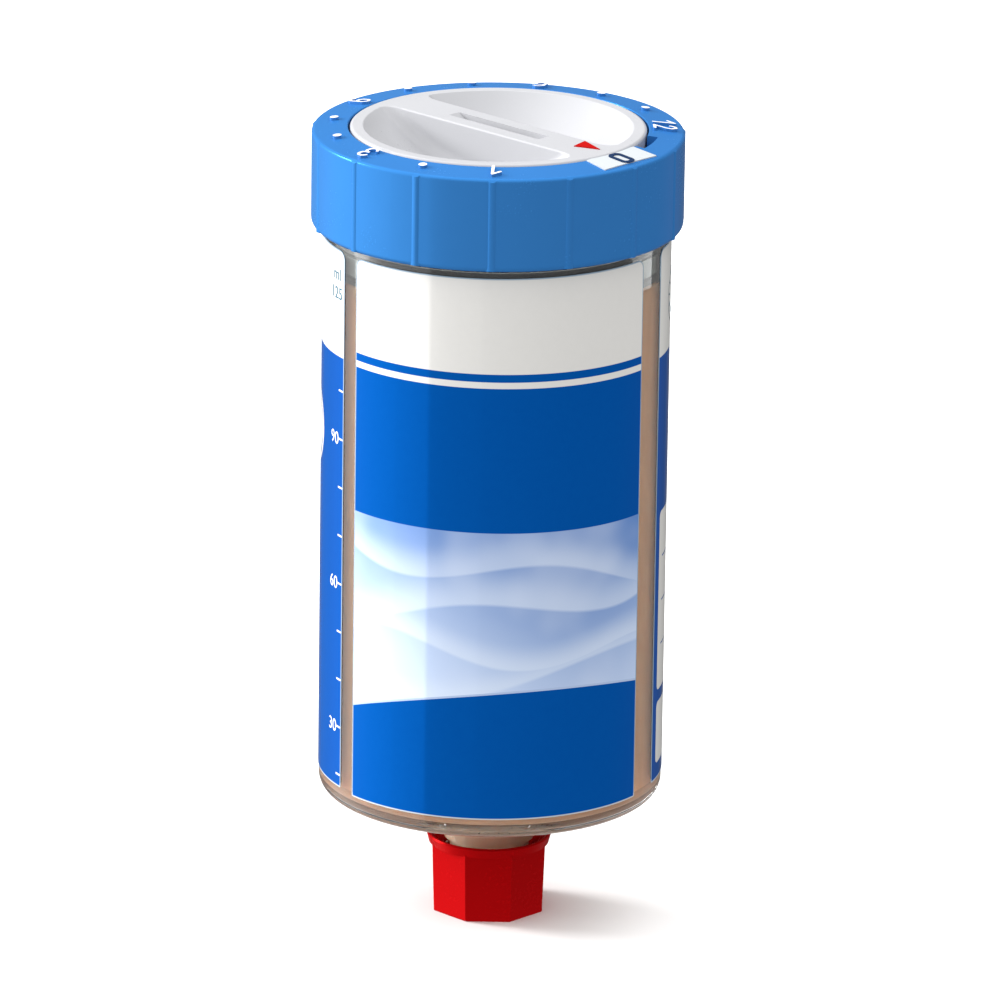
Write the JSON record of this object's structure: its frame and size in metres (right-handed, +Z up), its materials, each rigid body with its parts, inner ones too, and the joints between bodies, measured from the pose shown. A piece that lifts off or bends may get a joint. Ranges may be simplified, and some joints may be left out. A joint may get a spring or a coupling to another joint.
{
  "type": "automatic lubricator",
  "caption": "Single-point automatic grease dispenser: clear cylinder with labels, ribbed grip ring, turning month dial, gas-driven piston, threaded outlet with screw cap.",
  "frame": {"origin": "middle of the screw cap's closed end, on the cylinder's axis", "axes": "+Z up along the cylinder from the outlet to the dial; -Y towards the middle of the front label"},
  "size_m": [0.0535, 0.0536, 0.1185],
  "materials": {
    "clear_plastic": "clear, glossy",
    "label_film": "printed film, semi-gloss",
    "grease": "soft, satin",
    "piston_grey": "satin",
    "seal_rubber": "matte",
    "ring_blue": "fine satin moulding",
    "scale_white": "satin",
    "numeral_blue": "satin print",
    "dial_white": "satin moulding",
    "pointer_red": "satin print",
    "clip_steel": "spring steel",
    "contact_brass": "plated",
    "cover_grey": "satin",
    "board_green": "solder mask",
    "resistor_black": "matte",
    "holder_black": "satin",
    "cell_steel": "nickel plated",
    "cap_red": "satin moulding"
  },
  "bodies": {
    "housing": {"container": "clear_plastic", "front_label": "label_film", "rear_label": "label_film", "outlet_grease": "grease", "top_ring": "ring_blue", "scale_marks": "scale_white", "zero_flag": "scale_white", "zero_numeral": "numeral_blue", "top_cover": "cover_grey", "cover_seal": "seal_rubber", "circuit_board": "board_green", "resistors": "resistor_black", "cell_holder": "holder_black", "batteries": "cell_steel", "gas_cell": "cell_steel", "contact_springs": "contact_brass", "grease": "grease"},
    "dial": {"dial": "dial_white", "dial_pointer": "pointer_red", "dial_seal": "seal_rubber", "dial_retainer": "clip_steel", "contact_wiper": "contact_brass"},
    "piston": {"piston": "piston_grey", "piston_seals": "seal_rubber"},
    "thread_cap": {"thread_cap": "cap_red"}
  },
  "joints": [
    {"name": "dial_turn", "type": "hinge", "parent": "housing", "child": "dial", "pos_m": [0, 0, 0.112], "axis": [0, 0, 1], "range_deg": [-312, 0]},
    {"name": "piston_slide", "type": "slide", "parent": "housing", "child": "piston", "axis": [0, 0, -1], "range_m": [0, 0.074], "deforming": ["grease"]},
    {"name": "thread_cap_off", "type": "slide", "parent": "housing", "child": "thread_cap", "axis": [0, 0, -1], "range_m": [0, 0.014]}
  ]
}
